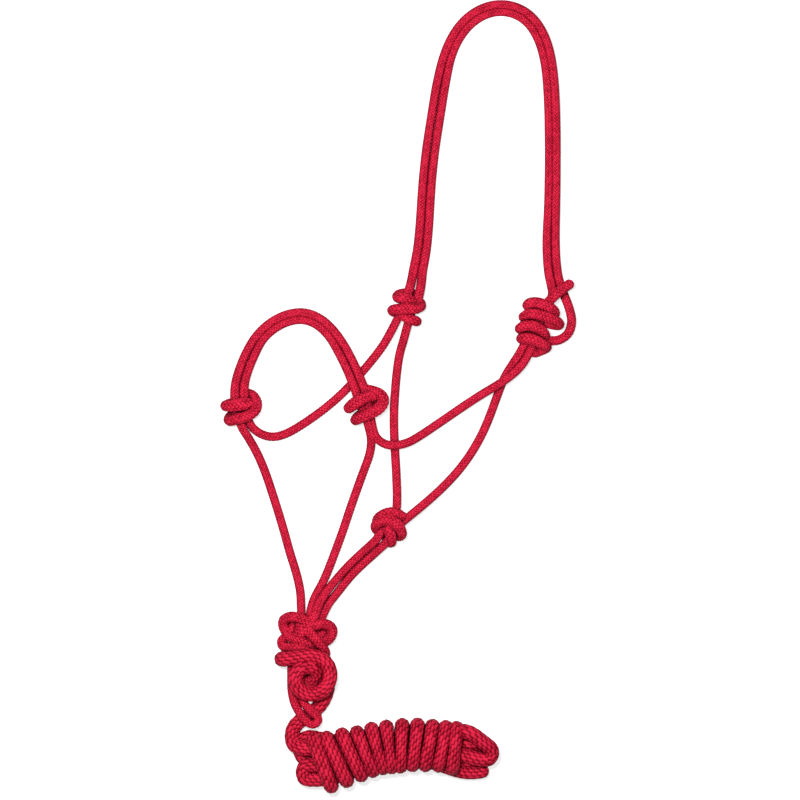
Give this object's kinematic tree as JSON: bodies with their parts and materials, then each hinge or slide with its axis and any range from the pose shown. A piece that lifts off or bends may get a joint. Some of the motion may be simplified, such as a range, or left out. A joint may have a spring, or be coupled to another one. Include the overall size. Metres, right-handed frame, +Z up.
{
  "type": "rope halter with lead rope",
  "caption": "Knotted rope halter for a horse, laid flat, with a doubled crown and noseband and a thick lead rope hitched below the chin and wound in a hank.",
  "frame": {"origin": "on the floor, below the middle of the whole object as it lies flat", "axes": "+X across the face from the nose side to the tie side, +Y from the chin to the crown, +Z up from the floor"},
  "size_m": [0.3312, 0.7414, 0.042],
  "materials": {
    "halter_rope": "tight plaited polyester cord, slight sheen",
    "lead_rope": "coarse soft braided polyester rope, slight sheen"
  },
  "bodies": {
    "cheeks_and_chin": {"nose_knot_left": "halter_rope", "nose_knot_right": "halter_rope", "crown_knot": "halter_rope", "tie_knot": "halter_rope", "tie_loop": "halter_rope", "tie_strand": "halter_rope", "tie_tail": "halter_rope", "cheek_left": "halter_rope", "cheek_right": "halter_rope", "throat_left": "halter_rope", "throat_right": "halter_rope", "throat_knot": "halter_rope", "chin_left": "halter_rope", "chin_right": "halter_rope", "jaw_front": "halter_rope", "jaw_back": "halter_rope"},
    "noseband": {"noseband_outer": "halter_rope", "noseband_inner": "halter_rope"},
    "crown": {"crown_outer": "halter_rope", "crown_inner": "halter_rope"},
    "chin_end": {"chin_knot": "halter_rope", "lead_loop": "halter_rope", "lead_hitch": "lead_rope"},
    "hank": {"lead_run": "lead_rope", "hank": "lead_rope", "hank_bight_left": "lead_rope", "hank_bight_right": "lead_rope", "lead_tip": "lead_rope"}
  },
  "joints": [
    {"name": "noseband_fold", "type": "hinge", "parent": "cheeks_and_chin", "child": "noseband", "pos_m": [-0.093, 0.0125, 0.0124], "axis": [1, 0, 0], "range_deg": [0, 90]},
    {"name": "crown_fold", "type": "hinge", "parent": "cheeks_and_chin", "child": "crown", "pos_m": [0.082, 0.118, 0.004], "axis": [1, 0, 0], "range_deg": [0, 90]},
    {"name": "chin_fold", "type": "hinge", "parent": "cheeks_and_chin", "child": "chin_end", "pos_m": [-0.072, -0.1755, 0.004], "axis": [-1, 0, 0], "range_deg": [0, 90]},
    {"name": "hank_swing", "type": "hinge", "parent": "chin_end", "child": "hank", "pos_m": [-0.099, -0.319, 0.0105], "axis": [0, 0, -1], "range_deg": [0, 90]}
  ]
}
